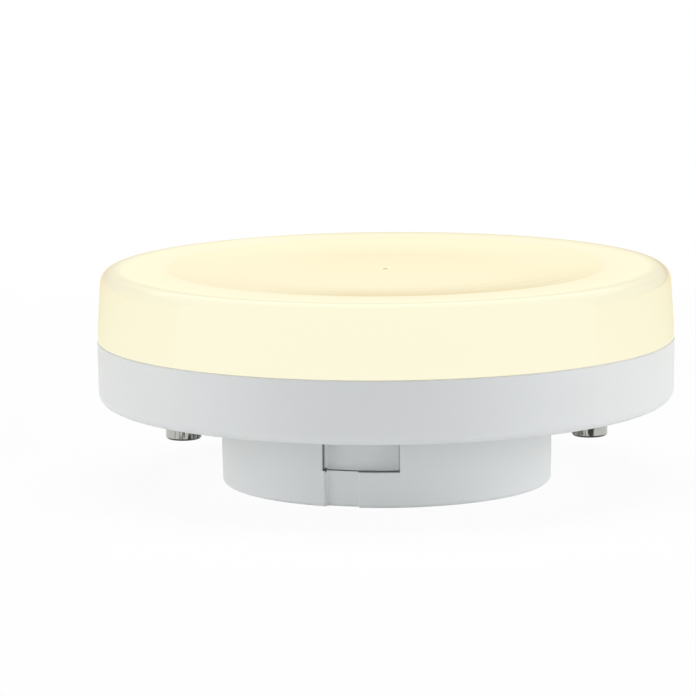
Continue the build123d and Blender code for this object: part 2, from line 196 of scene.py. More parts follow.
sheet = bmesh.new()
bmesh.ops.create_grid(sheet, x_segments=24, y_segments=24, size=3.0)  # reaches 3 m from the lamp
floor = placed("floor", sheet)
floor.location.z = -0.02 * MM  # a hair under the collar, so that the two faces don't coincide
paper, tree = blank("matt_white_card")
card = add(tree, "BsdfDiffuse", color="#F4F4F4")
shaded = add(tree, "BsdfDiffuse", color=[SHADOW_SHARE * MAKE_UP] * 3 + [1])
glow = add(tree, "Emission", color=WHITE, strength=1 - SHADOW_SHARE)
white = add(tree, "Emission", color=WHITE, strength=1.0)
near = add(tree, "AddShader", shaded, glow)
away = add(tree, "VectorMath", add(tree, "TexCoord", out="Object"), operation="LENGTH")
fade = add(tree, "MapRange", value=away, from_min=FADE[0], from_max=FADE[1], interpolation_type="SMOOTHSTEP")
shown = add(tree, "MixShader", fade, near, white)
add(tree, "OutputMaterial", surface=add(tree, "MixShader", seen_directly(tree), card, shown))
floor.data.materials.append(paper)
print("floor", [round(side, 1) for side in floor.dimensions], "m")

# %% [markdown]
# The room gives light mostly from near the horizon, where its white walls are, and little from the
# dark ceiling. The camera and reflections see the backdrop as plain white.

# %% World
WALLS, CEILING = 0.30, 0.02  # how bright they are
WALLS_TO, CEILING_FROM = 12, 30  # degrees above the horizon
world = bpy.data.worlds.new("white_room")
scene.world = world
world.use_nodes = True
tree = world.node_tree
tree.nodes.clear()
up = add(tree, "SeparateXYZ", add(tree, "TexCoord", out="Generated"), out="Z")
level = add(tree, "MapRange", value=up, interpolation_type="SMOOTHSTEP", from_min=sin(radians(WALLS_TO)),
            from_max=sin(radians(CEILING_FROM)), to_min=WALLS, to_max=CEILING)
room = add(tree, "Background", color="#FAFCFE", strength=level)
backdrop = add(tree, "Background", color=WHITE, strength=1.0)
add(tree, "OutputWorld", surface=add(tree, "MixShader", seen_directly(tree), room, backdrop))
print(world.name, "with walls at", WALLS, "and a ceiling at", CEILING)

# %% [markdown]
# The white disc is darkest where it faces the camera and lighter towards both sides, so the light
# comes from two large soft boxes left and right, low enough to reach in under the disc. A weaker one
# stands low behind the camera, and one hangs overhead.

# %% Lamps
SOFT_BOXES = {  # side of the square in metres, place in metres, power in watts
    "left": (0.7, (-0.80, -0.10, 0.20), 3.6),
    "right": (0.7, (0.80, -0.10, 0.20), 4.35),
    "front": (0.5, (0.0, -1.20, 0.22), 1.8),
    "over": (0.8, (0.0, 0.10, 0.95), 4.85),
}
for name, (side, place, watts) in SOFT_BOXES.items():
    data = bpy.data.lights.new("soft_box_" + name, "AREA")
    data.shape, data.size, data.energy = "SQUARE", side, watts
    box = bpy.data.objects.new("soft_box_" + name, data)
    box.location = place
    box.rotation_euler = (AIM - box.location).to_track_quat("-Z", "Y").to_euler()
    scene.collection.objects.link(box)
    box.visible_glossy = False  # else the glossy cap mirrors the edges of the boxes
print(len(SOFT_BOXES), "soft boxes,", sum(watts for _, _, watts in SOFT_BOXES.values()), "W")

# %% [markdown]
# Photographers stand cards round a shiny thing, out of the picture, so that its reflections have some
# dark in them. Two bent ones stand behind the lamp, one above the other. They take the white glare off
# the cap, which mirrors what is behind it at a flat angle, and off both ends of the disc. The upper
# one goes from brown to grey, so the near slope of the dish, which leans back and mirrors its lower
# edge, gets the darkest. The brown is bleached at its left end, and the slope is lighter there too.
# The cards are seen in reflections only and take no light.

# %% Cards
CARD_R, BEHIND, STRIPS = 0.15, (-10, 190), 36  # radius in metres, degrees from +X, flat strips in each
BLEACH = (-0.006, -0.020)  # metres along X between which the lower colour changes to the left one
CARDS = {  # colour below, colour below at the left, colour above, heights of the change, lower and upper edge
    "cream_card": ("#E6E4BC", "#E6E4BC", "#ECC88E", (0.004, 0.022), (0.0, 0.030)),
    "brown_to_grey_card": ("#98774F", "#C4B6A4", "#BCB2AA", (0.036, 0.047), (0.030, 0.12)),
}


def bent_card(name, low, left, high, change, edges):
    """An upright card bent round the lamp that only reflections see."""
    shape = bmesh.new()
    rows = []
    for step in range(STRIPS + 1):
        turn = radians(BEHIND[0] + (BEHIND[1] - BEHIND[0]) * step / STRIPS)
        rows.append([shape.verts.new((CARD_R * cos(turn), CARD_R * sin(turn), z)) for z in edges])
    for one, two in zip(rows, rows[1:]):
        shape.faces.new((one[0], one[1], two[1], two[0]))
    card = placed(name, shape)
    for kind in ("camera", "diffuse", "transmission", "volume_scatter", "shadow"):
        setattr(card, "visible_" + kind, False)
    finish, tree = blank(name)
    bleached = add(tree, "MapRange", value=along(tree, "X"), from_min=BLEACH[0], from_max=BLEACH[1])
    below = add(tree, "Mix", data_type="RGBA", factor=bleached, a=low, b=left)
    risen = add(tree, "MapRange", value=along(tree, "Z"), from_min=change[0], from_max=change[1])
    colour = add(tree, "Mix", data_type="RGBA", factor=risen, a=below, b=high)
    add(tree, "OutputMaterial", surface=add(tree, "Emission", color=colour, strength=1.0))
    card.data.materials.append(finish)


for name, row in CARDS.items():
    bent_card(name, *row)
print("cards", list(CARDS))

# %% [markdown]
# Both mouldings and the pins are bodies of revolution. Their section is a short list of corners, each
# with the radius that rounds it off. The arcs get many small steps, and every long straight run gets
# a point just beside each end, which holds the smooth shading to the round instead of letting it
# spread over the flat.

# %% Sections
ARC_STEP = 9  # degrees of arc between two points
HOLD, LONGEST = 0.2, 4.0  # from a run's end to the point beside it, and the longest part of a run, in mm


def rounded(corners):
    """The section's points from its corners (radius, height, round), all in mm."""
    points = []
    for i, (r, z, size) in enumerate(corners):
        here = Vector((r, z))
        if not size:
            points.append(here)
            continue
        back = (Vector(corners[i - 1][:2]) - here).normalized()
        onward = (Vector(corners[i + 1][:2]) - here).normalized()
        turn = pi - back.angle(onward)
        side = 1 if onward.x * back.y - onward.y * back.x > 0 else -1
        spoke = here + back * size * tan(turn / 2)
        centre = here + (back + onward).normalized() * size / cos(turn / 2)
        steps = max(4, ceil(degrees(turn) / ARC_STEP))
        for k in range(steps + 1):
            points.append(centre + Matrix.Rotation(side * turn * k / steps, 2) @ (spoke - centre))
    return points


def held(points):
    """The same points, with one beside both ends of each long run, and what is still long split up."""
    full = [points[0]]
    for start, end in zip(points, points[1:]):
        run = (end - start).length
        if run > 4 * HOLD:
            step = (end - start) / run
            parts = ceil((run - 2 * HOLD) / LONGEST)
            full += [start + step * (HOLD + (run - 2 * HOLD) * k / parts) for k in range(parts + 1)]
        full.append(end)
    return full


# %% [markdown]
# Sweeping a section round gives a closed shell. At the axis all points of a row are one, so the shell
# ends in a fan of triangles there. An optional cut moves points inward, which is how the lock grooves
# are pressed into the collar.

# %% Shells
EVEN = [i * 1.25 for i in range(288)]  # degrees from the front
SHARP = radians(38)  # edges that turn by more than this stay sharp
AXIS = 1e-6  # points nearer to the axis than this are on it


def from_points(name, vertices, faces):
    """A smooth-shaded mesh object from points in mm, with its real corners kept sharp."""
    mesh = bpy.data.meshes.new(name)
    mesh.from_pydata([Vector(v) * MM for v in vertices], [], faces)
    made = bpy.data.objects.new(name, mesh)
    scene.collection.objects.link(made)
    smooth(made)
    return made


def smooth(piece):
    """Smooth shading everywhere but at sharp edges."""
    piece.data.validate()
    piece.data.shade_smooth()
    piece.data.set_sharp_from_angle(angle=SHARP)


def spun(name, section, angles=EVEN, cut=None, centre=(0, 0)):
    """A closed shell: the section swept round Z through these angles from the front, in degrees."""
    vertices, rows = [], []
    for r, z in section:
        first = len(vertices)
        if r < AXIS:
            vertices.append((*centre, z))
            rows.append([first] * len(angles))
            continue
        for angle in angles:
            reach = r - (cut(r, z, angle) if cut else 0)
            turn = radians(angle)
            vertices.append((centre[0] + reach * sin(turn), centre[1] - reach * cos(turn), z))
        rows.append(range(first, len(vertices)))
    faces = []
    for low, high in zip(rows, rows[1:]):
        for j in range(len(angles)):
            n = (j + 1) % len(angles)
            faces.append(tuple(dict.fromkeys((low[j], low[n], high[n], high[j]))))
    return from_points(name, vertices, faces)


def volume(piece):
    """The volume inside a closed mesh in cubic mm."""
    shape = bmesh.new()
    shape.from_mesh(piece.data)
    size = shape.calc_volume() / MM ** 3
    shape.free()
    return size


# %% [markdown]
# The cap is moulded in opal polycarbonate. Its side is drafted so that it leaves the mould, and a
# round shoulder leads to a narrow flat rim. Inside a fine crease the top sinks by a third of a
# millimetre into a shallow dish, and in the very middle the mould's gate has left a nub.
# The skirt below has a snap bead that holds it in the disc. It isn't seen, but belongs to the piece.

# %% Opal cap
LAMP_R = 37.5
WALL = 1.7
SEAM_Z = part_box("housing")[1].z / MM
LAMP_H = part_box("diffuser")[1].z / MM
BODY_R_IN = LAMP_R - WALL
SEAM_ROUND = 0.18
CAP_WALL = 1.5
SKIRT_R, SKIRT_IN = BODY_R_IN - 0.15, BODY_R_IN - 1.45
SKIRT_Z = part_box("diffuser")[0].z / MM
SNAP_Z, SNAP_H, SNAP_OUT = 18.05, 0.7, 0.3
CAP_TOP_R, CROWN_R, DISH_R, DISH_FLAT_R = 36.92, 33.0, 28.4, 22.3
DISH_Z, CREASE_Z = LAMP_H - 0.36, LAMP_H - 0.05
GATE_R, NUB_R, GATE_DEPTH = 0.7, 0.4, 0.1

CAP = [
    (0, DISH_Z - CAP_WALL, 0),
    (DISH_FLAT_R, DISH_Z - CAP_WALL, 200),
    (DISH_R, CREASE_Z - CAP_WALL, 0.5),
    (CAP_TOP_R - CAP_WALL, LAMP_H - CAP_WALL, 0.6),
    (LAMP_R - CAP_WALL - 0.1, SEAM_Z + 1, 0.3),
    (SKIRT_IN, SEAM_Z + 1, 0.1),
    (SKIRT_IN, SKIRT_Z, 0.1),
    (SKIRT_R - 0.2, SKIRT_Z, 0.1),
    (SKIRT_R, SKIRT_Z + 0.2, 0.1),
    (SKIRT_R, SNAP_Z - SNAP_H / 2, 0),
    (SKIRT_R + SNAP_OUT, SNAP_Z - 0.1, 0.08),
    (SKIRT_R + SNAP_OUT, SNAP_Z + 0.1, 0.08),
    (SKIRT_R, SNAP_Z + SNAP_H / 2, 0),
    (SKIRT_R, SEAM_Z, 0),
    (LAMP_R, SEAM_Z, SEAM_ROUND),
    (CAP_TOP_R, LAMP_H, 1.8),
    (CROWN_R, LAMP_H, 30),
    (DISH_R, CREASE_Z, 0.12),
    (DISH_FLAT_R, DISH_Z, 235),
    (GATE_R, DISH_Z, 0.04),
    (GATE_R - 0.05, DISH_Z - GATE_DEPTH, 0.04),
    (NUB_R + 0.02, DISH_Z - GATE_DEPTH, 0.04),
    (NUB_R, DISH_Z, 0.06),
    (0, DISH_Z, 0),
]
diffuser = spun("opal_cap", held(rounded(CAP)))
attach(diffuser, "root")
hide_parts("diffuser")
print("opal cap", round(volume(diffuser)), "cubic mm,", len(diffuser.data.polygons), "faces")

# %% [markdown]
# The lock grooves are L-shaped: a narrow slot runs up the collar, then a deeper pocket goes sideways
# under the disc, where the lampholder's lug locks. Their walls are radial. As a cut, a groove is a
# depth over angle and height that rises steeply at its walls, with a small round at the top and foot
# of each. The shell gets extra columns and rows just there, so the walls come out crisp.

# %% Lock grooves
COLLAR_R = 21.5
FLANGE_Z, LEDGE_Z = 10.7, 4.6
POCKET, POCKET_DEPTH = (-22.3, 4.3), 1.4
SLOT, SLOT_DEPTH = (-21.5, -9.8), 0.7
BACKING, BACKING_DEPTH = (POCKET[0] - 5, POCKET[1] + 5), 1.3
EDGE = 0.18  # how far a wall's rounds reach to either side of its line
WALL_STEPS = [side * step for step in (0.015, 0.04, 0.08, 0.13, EDGE) for side in (-1, 1)]
CLEAR = 0.25  # an even column nearer than this, in degrees, to a wall's own is left out
SAME = 0.01  # heights this close are one level
# Radii from which the level faces beside a cut follow it: both floors inside, and the two faces outside
COLLAR_FLOOR_FROM, FLOOR_FROM, FOOT_FROM, UNDERSIDE_FROM = 12, 23, 15, 24


def wall_depth(past, depth):
    """How deep a wall has gone this far past its line: a round, a steep drop and a round again."""
    if abs(past) >= EDGE:
        return depth if past > 0 else 0.0
    curve = EDGE - sqrt(EDGE ** 2 - (EDGE - abs(past)) ** 2)
    return depth - curve if past > 0 else curve


def span_depth(angle, span, depth):
    """Depth across a groove between two radial walls."""
    into = radians(angle - span[0]) * COLLAR_R
    left = radians(span[1] - angle) * COLLAR_R
    return min(wall_depth(into, depth), wall_depth(left, depth))


def follow(value, none_at, full_at):
    """How much of a cut a point beside it follows, from 0 to 1."""
    return min(1.0, max(0.0, (value - none_at) / (full_at - none_at)))


def lock_cut(r, z, angle):
    """How far the groove, or inside the thickened wall behind it, moves a point of the housing inward."""
    turn = (angle + 90) % 180 - 90  # the two grooves are opposite each other
    behind = span_depth(turn, BACKING, BACKING_DEPTH)
    # Inside, both floors stretch or shrink gradually, so that their rows don't cross
    if abs(z - COLLAR_FLOOR_Z) < SAME:
        return behind * follow(r, COLLAR_FLOOR_FROM, COLLAR_R_IN - FLOOR_ROUND)
    if abs(z - FLOOR_Z) < SAME:
        return behind * follow(r, FLOOR_FROM, COLLAR_R_IN + HOLD)
    if r < COLLAR_R_IN + 0.1 and COLLAR_FLOOR_Z < z < FLOOR_Z:
        return behind
    if z > FLANGE_Z + SAME:
        return 0.0
    pocket = span_depth(turn, POCKET, POCKET_DEPTH) * wall_depth(z - LEDGE_Z, POCKET_DEPTH) / POCKET_DEPTH
    depth = max(pocket, span_depth(turn, SLOT, SLOT_DEPTH))
    # Outside, so do the collar's bottom face and the disc's underside
    if z < SAME:
        return depth * follow(r, FOOT_FROM, COLLAR_R - 0.6)
    return depth * follow(r, UNDERSIDE_FROM, COLLAR_R + 0.35)


def groove_angles():
    """The even columns, with the walls' own columns in place of those too near them."""
    walls = []
    for line in (*POCKET, *SLOT, *BACKING):
        for turn in (0, 180):
            walls += [(line + turn + degrees(step / COLLAR_R)) % 360 for step in WALL_STEPS]
    clear = [a for a in EVEN if min(abs((a - w + 180) % 360 - 180) for w in walls) > CLEAR]
    return sorted(walls + clear)


def with_ledge_rows(points):
    """Adds the rows of the pocket's ledge where the section climbs the collar's outer wall."""
    heights = sorted(LEDGE_Z + step for step in WALL_STEPS)
    full = []
    for start, end in zip(points, points[1:]):
        full.append(start)
        if COLLAR_R_IN + 1 < start.x < COLLAR_R + 0.1 and end.y > start.y:
            between = [h for h in heights if start.y < h < end.y]
            full += [start.lerp(end, (h - start.y) / (end.y - start.y)) for h in between]
    return full + [points[-1]]


# %% [markdown]
# The housing is a white PBT moulding with a satin skin from the mould. Its outside is all that shows,
# but as one moulding it is a cup with ribs for the heat spreader, bosses for screws and pins and
# seats for the driver board, so these are joined to the shell with booleans, and the holes cut out.

# %% Housing shell
COLLAR_R_IN, COLLAR_FLOOR_Z, FLOOR_Z, FLOOR_ROUND = 19.7, 1.6, 12.5, 0.6
COLLAR_TAPER = 0.08
SNAP_LOW, SNAP_HIGH = SNAP_Z - SNAP_H / 2 - 0.1, SNAP_Z + SNAP_H / 2 + 0.1
CUP = [
    (0, 0, 0),
    (COLLAR_R - COLLAR_TAPER, 0, 0.5),
    (COLLAR_R, LEDGE_Z, 0),
    (COLLAR_R, FLANGE_Z, 0.3),
    (LAMP_R - 0.1, FLANGE_Z, 1.5),
    (LAMP_R, SEAM_Z, SEAM_ROUND),
    (BODY_R_IN, SEAM_Z, 0.1),
    (BODY_R_IN, SNAP_HIGH + 0.2, 0),
    (BODY_R_IN + 0.25, SNAP_HIGH, 0.05),
    (BODY_R_IN + 0.25, SNAP_LOW, 0.05),
    (BODY_R_IN, SNAP_LOW, 0),
    (BODY_R_IN, FLOOR_Z, FLOOR_ROUND),
    (COLLAR_R_IN, FLOOR_Z, 0),
    (COLLAR_R_IN, COLLAR_FLOOR_Z, FLOOR_ROUND),
    (0, COLLAR_FLOOR_Z, 0),
]
housing = spun("housing_moulding", with_ledge_rows(held(rounded(CUP))), groove_angles(), lock_cut)
print("shell", round(volume(housing)), "cubic mm,", len(housing.data.polygons), "faces")


# %% [markdown]
# Inside, the real moulding has ribs and screw bosses that carry the plate, two bosses that hold the
# pins and four seats for the driver board. They are plain bars and posts with eased top edges that
# reach a little into the shell, so that a boolean has something to join. The holes are cut last.

# %% Ribs, bosses and holes
def joined(name, pieces):
    """One mesh object from several, which are then gone."""
    shape = bmesh.new()
    for piece in pieces:
        shape.from_mesh(piece.data)
        bpy.data.objects.remove(piece)
    return placed(name, shape)


def combined(base, operation, tool):
    """The base with a tool joined to it or cut from it."""
    step = base.modifiers.new(operation, "BOOLEAN")
    step.operation, step.solver, step.object = operation, "EXACT", tool
    result = bpy.data.meshes.new_from_object(base.evaluated_get(bpy.context.evaluated_depsgraph_get()))
    base.modifiers.clear()
    base.data = result
    bpy.data.objects.remove(tool)


def post(name, radius, low, high, x=0.0, y=0.0, ease=0.15):
    """An upright round post with an eased top edge."""
    section = [(0, low, 0), (radius, low, 0), (radius, high, ease), (0, high, 0)]
    return spun(name, rounded(section), EVEN[::6], centre=(x, y))


def bar(name, length, width, low, high, radius, angle, ease=0.15):
    """An upright bar that lies along a radius, with eased top edges."""
    outward = Matrix.Rotation(radians(angle), 3, "Z") @ Vector((1, 0, 0))
    across = Vector((-outward.y, outward.x, 0))
    ring = [(1, 1), (-1, 1), (-1, -1), (1, -1)]
    levels = ((low, 0), (high - ease, 0), (high - ease * 0.3, ease * 0.3), (high, ease))
    vertices = []
    for z, inset in levels:
        for a, b in ring:
            reach, side = a * (length / 2 - inset), b * (width / 2 - inset)
            vertices.append(outward * (radius + reach) + across * side + Vector((0, 0, z)))
    faces = [(3, 2, 1, 0), (12, 13, 14, 15)]
    for base in (0, 4, 8):
        for k in range(4):
            n = (k + 1) % 4
            faces.append((base + k, base + n, base + 4 + n, base + 4 + k))
    return from_points(name, vertices, faces)


PLATE_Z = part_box("heat_spreader")[0].z / MM
PIN_X = (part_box("contact_pin_right")[0].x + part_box("contact_pin_right")[1].x) / 2 / MM
TIE = 0.2  # ribs and bosses reach this far into what carries them
RIB_LENGTH, RIB_WIDTH, RIB_ANGLES = 4.5, 1.3, range(15, 360, 30)
SEAT_LENGTH, SEAT_WIDTH, SEAT_Z, SEAT_R, SEAT_ANGLES = 4.4, 2.8, 3.4, 17.7, (45, 135, 225, 315)
SCREW_CIRCLE_R, SCREW_ANGLES = 27.5, (90, 210, 330)
SCREW_BOSS_R, SCREW_HOLE_R, SCREW_HOLE_Z = 2.8, 1.3, 12.6
PIN_BOSS_R, PIN_BOSS_Z = 3.6, 13.8
SHANK_R, SHOULDER_R, SHOULDER_H = 1.5, 2.3, 0.6  # a pin's shoulder is let into the disc's underside
PLAY = 0.05  # between a pin and its hole
BELOW, ABOVE = 9.0, 20.0  # the tools that cut the holes start below the disc and end above the bosses
PIN_HOLE = [
    (0, BELOW, 0),
    (SHOULDER_R + PLAY, BELOW, 0),
    (SHOULDER_R + PLAY, FLANGE_Z + SHOULDER_H, 0),
    (SHANK_R + PLAY, FLANGE_Z + SHOULDER_H, 0),
    (SHANK_R + PLAY, ABOVE, 0),
    (0, ABOVE, 0),
]

additions, holes = [], []
for angle in RIB_ANGLES:
    middle = BODY_R_IN + TIE - RIB_LENGTH / 2
    additions.append(bar("rib", RIB_LENGTH, RIB_WIDTH, FLOOR_Z - TIE, PLATE_Z, middle, angle))
for angle in SEAT_ANGLES:
    additions.append(bar("seat", SEAT_LENGTH, SEAT_WIDTH, COLLAR_FLOOR_Z - 0.3, SEAT_Z, SEAT_R, angle))
for angle in SCREW_ANGLES:
    x, y = SCREW_CIRCLE_R * cos(radians(angle)), SCREW_CIRCLE_R * sin(radians(angle))
    additions.append(post("screw_boss", SCREW_BOSS_R, FLOOR_Z - TIE, PLATE_Z, x, y))
    holes.append(post("screw_hole", SCREW_HOLE_R, SCREW_HOLE_Z, ABOVE, x, y))
for x in (-PIN_X, PIN_X):
    additions.append(post("pin_boss", PIN_BOSS_R, FLOOR_Z - TIE, PIN_BOSS_Z, x))
    holes.append(spun("pin_hole", rounded(PIN_HOLE), EVEN[::6], centre=(x, 0)))
combined(housing, "UNION", joined("additions", additions))
combined(housing, "DIFFERENCE", joined("holes", holes))
smooth(housing)
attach(housing, "root")
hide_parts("housing")
print("housing", round(volume(housing)), "cubic mm,", len(housing.data.polygons), "faces")

# %% [markdown]
# The pins are turned from brass bar and nickel plated. A thick head with broken edges locks behind
# the lampholder's contact. Above it come a neck, a shoulder let into the disc and a shank whose inner
# end is spread over its boss.

# %% Contact pins
PIN_TIP_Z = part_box("contact_pin_right")[0].z / MM
HEAD_R, HEAD_TOP, BORE_R = 2.35, PIN_TIP_Z + 2.6, 0.75
SPREAD_R, SPREAD_TOP_R, SPREAD_Z = 2.1, 1.6, 14.3  # the inner end
PIN = [
    (0, PIN_TIP_Z, 0),
    (HEAD_R, PIN_TIP_Z, 0.45),
    (HEAD_R, HEAD_TOP, 0.2),
    (SHANK_R, HEAD_TOP + 0.5, 0.1),
    (SHANK_R, FLANGE_Z, 0.08),
    (SHOULDER_R, FLANGE_Z, 0),
    (SHOULDER_R, FLANGE_Z + SHOULDER_H, 0.08),
    (SHANK_R, FLANGE_Z + SHOULDER_H, 0),
    (SHANK_R, PIN_BOSS_Z, 0),
    (SPREAD_R, PIN_BOSS_Z, 0.06),
    (SPREAD_TOP_R, SPREAD_Z, 0.06),
    (BORE_R, SPREAD_Z, 0.06),
    (BORE_R, FLOOR_Z, 0.06),
    (0, FLOOR_Z, 0),
]
pins = []
for side, name in ((-1, "left"), (1, "right")):
    pin = spun("turned_pin_" + name, held(rounded(PIN)), EVEN[::3], centre=(side * PIN_X, 0))
    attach(pin, "root")
    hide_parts("contact_pin_" + name)
    pins.append(pin)
print("pin", round(volume(pins[0])), "cubic mm,", len(pins[0].data.polygons), "faces each")

# %% [markdown]
# The cap is opal polycarbonate, a clear plastic filled with a fine white pigment that scatters the
# light of the LEDs until none of them can be made out. So it hardly has a shading of its own: it
# glows evenly, warm white. Most of its colour is emission, and only a little comes from light that
# falls on it. The pigment stops a hair below the skin, which stays clear and gives the cap its gloss.
# Seen at a flat angle that skin holds back more of the glow and shows the room instead, so the near
# slope of the dish, which leans away from the eye, looks darker than the far one.
# The glow is a touch paler at the crease and in the rim, a painted highlight, and dimmer in the
# side wall itself. The nub in the middle glows darker, a painted shade.

# %% Opal polycarbonate
# the gate nub's darker glow is a painted shade
NUB_SHADED_GLOW = "#B4AC92"
GLOWS = [  # from the nub outwards: the next colour, and the radii between which it takes over
    ("#FEF5CE", NUB_R, NUB_R + 0.1),  # dish
    # the crease and the rim glow paler: a painted highlight
    ("#FFF9D6", DISH_R - 0.1, DISH_R + 0.3),  # crease
    ("#FFFCD9", DISH_R + 0.3, CROWN_R),  # rim
    ("#DEDAC0", 34.0, 36.4),  # side wall
]
opal, tree, shader = material("opal_polycarbonate", "#3C3B36", 0.5, ior=1.585, specular_ior_level=0.0,
                              coat_weight=0.8, coat_roughness=0.1, coat_ior=1.5, emission_strength=1.3)
radius = around(tree)[0]
glow = NUB_SHADED_GLOW
for colour, start, end in GLOWS:
    change = add(tree, "MapRange", value=radius, from_min=start, from_max=end)
    glow = add(tree, "Mix", data_type="RGBA", factor=change, a=glow, b=colour)
tree.links.new(glow, shader["Emission Color"])
diffuser.data.materials.append(opal)
print(opal.name, "glows in", len(GLOWS) + 1, "colours")

# %% [markdown]
# PBT is a hard, opaque, slightly cool white plastic that stands heat. The mould's fine spark-eroded
# skin makes it satin: its highlights are wide and soft. The real skin's pits are about 0.03 mm, too
# fine to show here, so they are drawn five times as coarse and very shallow. Painted shade lies on
# the walls of the lock grooves' pockets, mostly at their edge and on the ledge, and outlines them
# with a fine dark line. Walls are where the surface doesn't face away from the axis. A fainter
# painted shade lies in the seam.

# %% Moulded PBT
pbt, tree, shader = material("moulded_pbt", "#F1F4F4", 0.42, ior=1.57)
skin = grain(tree, shader, 0.15, "#F3F5F5", "#EFF2F3", relief_mm=0.0008)
radius, height, outward = around(tree)
facing = add(tree, "VectorMath", add(tree, "NewGeometry", out="Normal"), outward, operation="DOT_PRODUCT")
facing = add(tree, "Math", facing, operation="ABSOLUTE")
# a painted shade line on the pockets' walls, at their outer edge and on the ledge
near_edge = add(tree, "MapRange", value=radius, from_min=COLLAR_R - 1.0, from_max=COLLAR_R - 0.4)
on_ledge = add(tree, "MapRange", value=height, from_min=LEDGE_Z + 0.3, from_max=LEDGE_Z + 0.15)
line = add(tree, "Math", near_edge, on_ledge, operation="MAXIMUM")
# LIMITS bound that painted shade line
LIMITS = [  # what is measured, where the dark line is absent and where it is full
    (facing, 0.8, 0.5),
    (radius, COLLAR_R - 0.1, COLLAR_R - 0.2),
    (height, LEDGE_Z - 0.3, LEDGE_Z - 0.1),
    (height, FLANGE_Z - 0.2, FLANGE_Z - 0.4),
]
for measure, absent, full in LIMITS:
    limit = add(tree, "MapRange", value=measure, from_min=absent, from_max=full)
    line = add(tree, "Math", line, limit, operation="MULTIPLY")
# painted shade in the seam between the disc and the cap
in_seam = add(tree, "MapRange", value=height, from_min=SEAM_Z - 0.25, from_max=SEAM_Z - 0.08)
skin = add(tree, "Mix", data_type="RGBA", factor=in_seam, a=skin, b="#E6E6E2")
skin = add(tree, "Mix", data_type="RGBA", factor=line, a=skin, b="#585C5D")
tree.links.new(skin, shader["Base Color"])
housing.data.materials.append(pbt)
print(pbt.name, "with painted shade within", len(LIMITS), "limits")

# %% [markdown]
# Nickel plate over turned brass is a neutral grey mirror with faint rings from the lathe, one every
# 0.05 mm on the real pin and drawn every 0.2 mm here so that they show. The side of the heads towards
# the collar carries painted dark reflections in streaks 0.3 mm wide, and a painted dark reflection
# runs round the tip's edge.

# %% Nickel-plated brass
NICKEL, DARK_REFLECTION = "#B9BAB5", "#3A3A37"
nickel, tree, shader = material("nickel_plated_brass", NICKEL, 0.16, metallic=1.0)
rings = add(tree, "CombineXYZ", z=add(tree, "SeparateXYZ", places(tree, 0.2), out="Z"))
lathe = add(tree, "TexNoise", vector=rings, scale=1.0, detail=2.0)
relief = add(tree, "Bump", height=lathe, strength=1.0, distance=0.006 * MM)
# painted dark reflections: streaks on the heads' side towards the collar, and a line round the tip's edge
streak_noise = add(tree, "TexNoise", vector=places(tree, 0.3, (1, 1, 0.12)), scale=1.0, detail=1.0)
streaks = add(tree, "MapRange", value=streak_noise, from_min=0.42, from_max=0.60)
radius, height, _ = around(tree)
inner_side = add(tree, "MapRange", value=radius, from_min=PIN_X + 1.4, from_max=PIN_X + 0.4)
streaks = add(tree, "Math", streaks, inner_side, operation="MULTIPLY")
tip_edge = add(tree, "MapRange", value=height, from_min=PIN_TIP_Z + 0.34, from_max=PIN_TIP_Z + 0.22)
painted_reflection = add(tree, "Math", streaks, tip_edge, operation="MAXIMUM")
tone = add(tree, "Mix", data_type="RGBA", factor=painted_reflection, a=NICKEL, b=DARK_REFLECTION)
tree.links.new(tone, shader["Base Color"])
tree.links.new(relief, shader["Normal"])
for pin in pins:
    pin.data.materials.append(nickel)
print(nickel.name, "on", len(pins), "pins")

# %% [markdown]
# Everything inside is hidden by the two mouldings, but the part can be taken apart, so each inner
# piece gets the finish of its own material too. These pieces are the frame's own solids.

# %% Dress the frame's own pieces
dressed = []


def dress(finish, *nodes):
    """Gives the frame's nodes a finish."""
    for node in nodes:
        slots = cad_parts[node].material_slots
        for slot in slots:
            slot.material = finish
        if not slots:
            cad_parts[node].data.materials.append(finish)
    dressed.extend(nodes)
    print(finish.name, "on", ", ".join(nodes))


# %% [markdown]
# The heat spreader is aluminium sheet, punched and left mill finished: fine streaks a quarter of a
# millimetre wide run along the rolling direction.

# %% Mill-finish aluminium
aluminium, tree, shader = material("mill_finish_aluminium", "#C9CBCD", 0.35, metallic=1.0)
grain(tree, shader, 0.25, "#D2D4D6", "#BCBEC0", stretch=(0.05, 1, 1))
dress(aluminium, "heat_spreader")

# %% [markdown]
# The insulating sheet is polyester film, milky and smooth, with faint clouds.

# %% Polyester film
film, tree, shader = material("polyester_film", "#E6E6E0", 0.2, ior=1.64)
grain(tree, shader, 3.0, "#ECECE6", "#DCDCD4", relief_mm=0.01)
dress(film, "insulating_sheet")

# %% [markdown]
# The LED board is aluminium under a white solder mask. The copper tracks under the mask run in rings
# from LED to LED and show as a slight rise and a slightly darker tone.

# %% White solder mask
mask_white, tree, shader = material("white_solder_mask", "#EDEDEA", 0.35, ior=1.52)
tracks = add(tree, "TexWave", vector=places(tree, 12.0), wave_type="RINGS", rings_direction="Z",
             wave_profile="SIN", scale=0.5, distortion=0.0, out="Fac")
raised = add(tree, "MapRange", value=tracks, from_min=0.35, from_max=0.4)
tone = add(tree, "Mix", data_type="RGBA", factor=raised, a="#EFEFEC", b="#E4E4DF")
relief = add(tree, "Bump", height=raised, strength=1.0, distance=0.035 * MM)  # the copper's thickness
tree.links.new(tone, shader["Base Color"])
tree.links.new(relief, shader["Normal"])
dress(mask_white, "led_board")

# %% [markdown]
# The LEDs' cups are moulded in a white heat-proof nylon. The fill is silicone with yellow phosphor,
# which glows while the lamp is lit.

